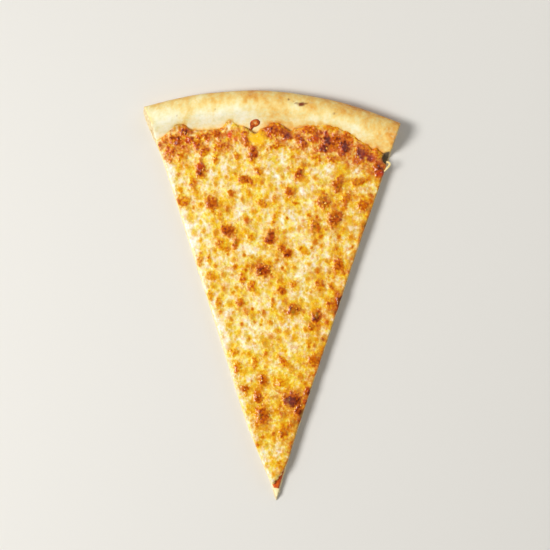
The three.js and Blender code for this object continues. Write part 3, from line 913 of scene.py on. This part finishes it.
def dabRoom(x, y):
    middleX, middleY, halfWidth, halfLength = dabLook["middle"]
    uneven = 0.1 * np.sin(2 * np.arctan2(y - middleY, x - middleX) + 0.4)
    blob = (1 + uneven - np.hypot((x - middleX) / halfWidth, (y - middleY) / halfLength)) * halfLength
    (startX, startY), (endX, endY), radius = dabLook["strand"]
    run = np.array([endX - startX, endY - startY])
    t = clamp(((x - startX) * run[0] + (y - startY) * run[1]) / (run @ run))
    strand = radius - 0.35 * t - np.hypot(x - startX - t * run[0], y - startY - t * run[1])
    return np.maximum(blob, strand) + 0.25 * np.exp(-np.abs(blob - strand) * 1.6)


def makeDab(look):
    sheet = layerSheet(dabRoom, look["middle"][:2], look["spacing"], 2, 101)
    x, y = sheet["plan"].T
    room = np.maximum(dabRoom(x, y), 0)
    middleX, middleY, halfWidth, halfLength = look["middle"]
    away = np.hypot((x - middleX) / halfWidth, (y - middleY) / halfLength)
    floor = crustHeight(x, y) - 0.08
    ring = 1 - 0.45 * bell(away, 0.45)
    rise = look["height"] * rounded(room, 1.3) * ring + 0.12
    rise = rise * (1 + 0.25 * softNoise(sheet["plan"], 1.1, 102))
    z = floor + rise * sheet["share"]
    browning = 0.86 - 0.4 * bell(away, 0.5) + 0.2 * softNoise(sheet["plan"], 1.0, 103)
    browning = browning - 0.2 * soften((94.2 - y) / 2)
    fields = {"browning": clamp(browning), "tomato": 0.06 + 0.26 * bell(away, 0.5), "char": 0 * x,
              "grease": 0 * x, "curd": 0 * x, "fatty": 0 * x + 0.3}
    return makePiece("rim_dab", np.column_stack([x, y, z]), sheet["faces"], cheese.data.materials[0], fields)


dab = makeDab(dabLook)


# A thin curl of torn dough that stands across the open pocket.
flakeLook = {
    "path": [(63.6, 75.0, 5.6), (65.1, 74.2, 6.4), (65.2, 73.1, 7.0), (64.4, 71.9, 7.3), (63.4, 70.8, 7.2),
             (62.5, 69.8, 6.8), (61.6, 69.3, 5.9)],
    "widths": [0.4, 0.6, 0.6, 0.6, 0.5, 0.35, 0.2],
    "thickness": 0.32,
    "rings": 26,
    "around": 10,
}


def makeFlake(look):
    count, around = look["rings"], look["around"]
    path = splinePoints(look["path"], count)
    widths = np.interp(np.linspace(0, 1, count), np.linspace(0, 1, len(look["widths"])), look["widths"])
    ahead = np.gradient(path, axis=0)
    ahead /= np.linalg.norm(ahead, axis=1, keepdims=True)
    side = np.cross(ahead, [0, 0, 1.0])
    side /= np.linalg.norm(side, axis=1, keepdims=True)
    up = np.cross(side, ahead)
    angles = np.linspace(0, 2 * np.pi, around, endpoint=False)
    rings = [path + side * (widths * math.cos(a))[:, None] + up * look["thickness"] * math.sin(a) * 0.5
             for a in angles]
    points = np.stack(rings, axis=1).reshape(-1, 3)
    points += 0.12 * np.column_stack([softNoise(points, 0.9, seed) for seed in (111, 112, 113)])
    faces = []
    for i in range(0, (count - 1) * around, around):
        for k in range(around):
            a, b = i + k, i + (k + 1) % around
            faces.append((a, b, b + around, a + around))
    faces += [tuple(range(around))[::-1], tuple(range((count - 1) * around, count * around))]
    fields = {name: np.zeros(len(points)) for name in ("crumb", "pore", "under", "char", "hollow")}
    fields["bake"] = clamp(0.32 + 0.2 * softNoise(points, 1.5, 114))
    return makePiece("torn_flake", points, faces, crust.data.materials[0], fields)


flake = makeFlake(flakeLook)
print("dab and flake:", len(dab.data.polygons), "and", len(flake.data.polygons), "faces")


# Dry crumbs that the knife dragged along the cuts, and beads of butterfat on the hot blisters.
bitLooks = {
    "crumbs": {
        "inputs": {"Where": "crumb", "Bits per Area": 26000.0, "Smallest": 0.28 * mm, "Largest": 0.6 * mm,
                   "Flatness": 0.7, "Roughness": 0.45, "Seed": 5},
        "material": "toasted crumb",
        # matt, and each crumb paler or more toasted than the next
        "grains": {"depth": (2.0, {"Detail": 2.0})},
        "stops": [(0.3, "#FFF6DA"), (0.55, "#F4DDA2"), (0.75, "#D9A75C")],
        "surface": {"Roughness": 0.8, "Specular IOR Level": 0.25},
    },
    "oil_beads": {
        "inputs": {"Where": "wet", "Bits per Area": 60000.0, "Smallest": 0.3 * mm, "Largest": 0.75 * mm,
                   "Flatness": 0.4, "Roughness": 0.1, "Seed": 9},
        "material": "butterfat bead",
        # wet and shiny: clear gold where it is thin, deeper over the browned skin
        "grains": {"depth": (5.0, {"Detail": 1.0})},
        "stops": [(0.35, "#F4B83E"), (0.5, "#E69A28"), (0.65, "#D07C1E")],
        "surface": {"Roughness": 0.1, "IOR": 1.46, "Coat Weight": 0.6, "Coat Roughness": 0.05},
    },
}


def bitMaterial(look):
    material, tree, parts = newMaterial(look["material"], (), look["grains"])
    colour = addNode(tree, "ShaderNodeValToRGB", {"Fac": parts["depth"]}, stops=look["stops"])
    addSurface(tree, {"Base Color": colour.outputs["Color"], **look["surface"]})
    return material


def scatterTree(name, material):
    # small rounded bits over the faces, as thick on the ground as the named attribute says
    tree = bpy.data.node_groups.new(name, "GeometryNodeTree")
    for title, kind in {"Surface": "Geometry", "Where": "String", "Bits per Area": "Float",
                        "Smallest": "Float", "Largest": "Float", "Flatness": "Float",
                        "Roughness": "Float", "Seed": "Int"}.items():
        tree.interface.new_socket(title, in_out="INPUT", socket_type="NodeSocket" + kind)
    tree.interface.new_socket("Bits", in_out="OUTPUT", socket_type="NodeSocketGeometry")
    given = addNode(tree, "NodeGroupInput").outputs
    share = addNode(tree, "GeometryNodeInputNamedAttribute", {"Name": given["Where"]}, data_type="FLOAT")
    density = addNode(tree, "ShaderNodeMath", {
        0: share.outputs[0], 1: given["Bits per Area"]}, operation="MULTIPLY")
    spread = addNode(tree, "GeometryNodeDistributePointsOnFaces", {
        "Mesh": given["Surface"], "Density": density.outputs[0], "Seed": given["Seed"]})
    ball = addNode(tree, "GeometryNodeMeshUVSphere", {"Radius": 1.0, "Segments": 8, "Rings": 5})
    dents = addNode(tree, "ShaderNodeTexNoise", {"Scale": 1.1, "Detail": 1.0})
    centred = addNode(tree, "ShaderNodeVectorMath", {
        0: dents.outputs["Color"], 1: (0.5, 0.5, 0.5)}, operation="SUBTRACT")
    dented = addNode(tree, "ShaderNodeVectorMath", {
        0: centred.outputs[0], "Scale": given["Roughness"]}, operation="SCALE")
    bit = addNode(tree, "GeometryNodeSetPosition", {
        "Geometry": ball.outputs["Mesh"], "Offset": dented.outputs[0]})
    smooth = addNode(tree, "GeometryNodeSetShadeSmooth", {"Geometry": bit.outputs[0]})
    size = addNode(tree, "FunctionNodeRandomValue", {
        2: given["Smallest"], 3: given["Largest"], "Seed": given["Seed"]}, data_type="FLOAT")
    height = addNode(tree, "ShaderNodeMath", {
        0: size.outputs[1], 1: given["Flatness"]}, operation="MULTIPLY")
    scale = addNode(tree, "ShaderNodeCombineXYZ", {
        "X": size.outputs[1], "Y": size.outputs[1], "Z": height.outputs[0]})
    placed = addNode(tree, "GeometryNodeInstanceOnPoints", {
        "Points": spread.outputs["Points"], "Instance": smooth.outputs[0],
        "Rotation": spread.outputs["Rotation"], "Scale": scale.outputs[0]})
    real = addNode(tree, "GeometryNodeRealizeInstances", {"Geometry": placed.outputs[0]})
    painted = addNode(tree, "GeometryNodeSetMaterial", {"Geometry": real.outputs[0], "Material": material})
    addNode(tree, "NodeGroupOutput", {"Bits": painted.outputs[0]})
    return tree


def scatterBits(name, surface):
    look = bitLooks[name]
    material = bitMaterial(look)
    carrier = addObject("carrier_" + name, surface.data.copy())
    modifier = carrier.modifiers.new("scatter", "NODES")
    modifier.node_group = scatterTree(name + "_scatter", material)
    for item in modifier.node_group.interface.items_tree:
        if item.in_out == "INPUT" and item.name in look["inputs"]:
            modifier[item.identifier] = look["inputs"][item.name]
    mesh = settled(carrier)
    bpy.data.objects.remove(carrier)
    for attribute in [a for a in mesh.attributes if a.domain == "POINT" and a.data_type == "FLOAT"]:
        mesh.attributes.remove(attribute)
    points = np.clip(readMesh(mesh)[0] * mm, *np.array(cadBox))
    mesh.vertices.foreach_set("co", points.ravel())
    mesh.name = name
    if not mesh.materials:
        mesh.materials.append(material)
    return addObject(name, mesh)


crumbs = scatterBits("crumbs", crust)
beads = scatterBits("oil_beads", cheese)
print("bits:", len(crumbs.data.polygons), "crumb faces,", len(beads.data.polygons), "bead faces")


# A pale painted board in a soft white room, lit from the left by a softbox and a wide window.
stage = {
    "lookAt": (1.85, 12.2),
    "cameraHeight": 725,
    "lens": 85,
    "farthest": 100,
    "floor": "#DCD9D2",
    "floorSize": 40.0,
    "glow": {"wall": 0.48, "ceiling": 0.08},
    # each softbox's power, place and size
    "softboxes": {"key": (8.3, (-0.75, -0.1, 0.85), 0.36), "fill": (1.2, (0.4, 0.45, 0.6), 0.6)},
    "windowStrength": 1.2,
    "windowAngle": 25,
}


def makeStage(look):
    camera = bpy.data.cameras.new("overhead_camera")
    camera.lens = look["lens"]
    camera.sensor_width = 36
    camera.clip_end = look["farthest"]
    seer = addObject("overhead_camera", camera)
    seer.location = (look["lookAt"][0] * mm, look["lookAt"][1] * mm, look["cameraHeight"] * mm)
    bpy.context.scene.camera = seer
    for name, (power, place, size) in look["softboxes"].items():
        light = bpy.data.lights.new(name + "_softbox", "AREA")
        light.energy = power
        light.size = size
        box = addObject(name + "_softbox", light)
        box.location = place
        box.rotation_euler = (-Vector(place)).to_track_quat("-Z", "Y").to_euler()
    # even light from the key's side, out to the far floor
    window = bpy.data.lights.new("soft_window", "SUN")
    window.energy = look["windowStrength"]
    window.angle = math.radians(look["windowAngle"])
    pane = addObject("soft_window", window)
    pane.rotation_euler = (-Vector(look["softboxes"]["key"][1])).to_track_quat("-Z", "Y").to_euler()
    world = bpy.data.worlds.new("soft_room")
    world.use_nodes = True
    world.node_tree.nodes.clear()
    towards = addNode(world.node_tree, "ShaderNodeTexCoord").outputs["Generated"]
    height = addNode(world.node_tree, "ShaderNodeSeparateXYZ", {0: towards}).outputs["Z"]
    glow = addNode(world.node_tree, "ShaderNodeMapRange", {
        0: height, 1: 0.3, 2: 0.97, 3: look["glow"]["wall"], 4: look["glow"]["ceiling"]})
    room = addNode(world.node_tree, "ShaderNodeBackground", {
        "Color": linear("#FFFFFF"), "Strength": glow.outputs[0]})
    addNode(world.node_tree, "ShaderNodeOutputWorld", {"Surface": room.outputs[0]})
    bpy.context.scene.world = world
    # matt and even, so that only the slice's own shadow shows on it
    material, tree, _ = newMaterial("pale painted board")
    addSurface(tree, {"Base Color": linear(look["floor"]), "Roughness": 0.8})
    half = look["floorSize"] / 2
    mesh = bpy.data.meshes.new("floor")
    mesh.from_pydata([(-half, -half, 0), (half, -half, 0), (half, half, 0), (-half, half, 0)], [],
                     [(0, 1, 2, 3)])
    mesh.materials.append(material)
    floor = addObject("floor", mesh)
    bpy.context.scene.view_settings.view_transform = "Standard"


makeStage(stage)
print("stage: camera, floor and lights in place")

for piece, node, slot in ((crust, "crust", "baked_crust"), (sauce, "tomato_sauce", "tomato_sauce"),
                          (cheese, "cheese", "melted_cheese"), (dab, None, "melted_cheese"),
                          (flake, None, "baked_crust"), (crumbs, None, "baked_crust"),
                          (beads, None, "melted_cheese")):
    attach(piece, "root")
    if node:
        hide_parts(node)
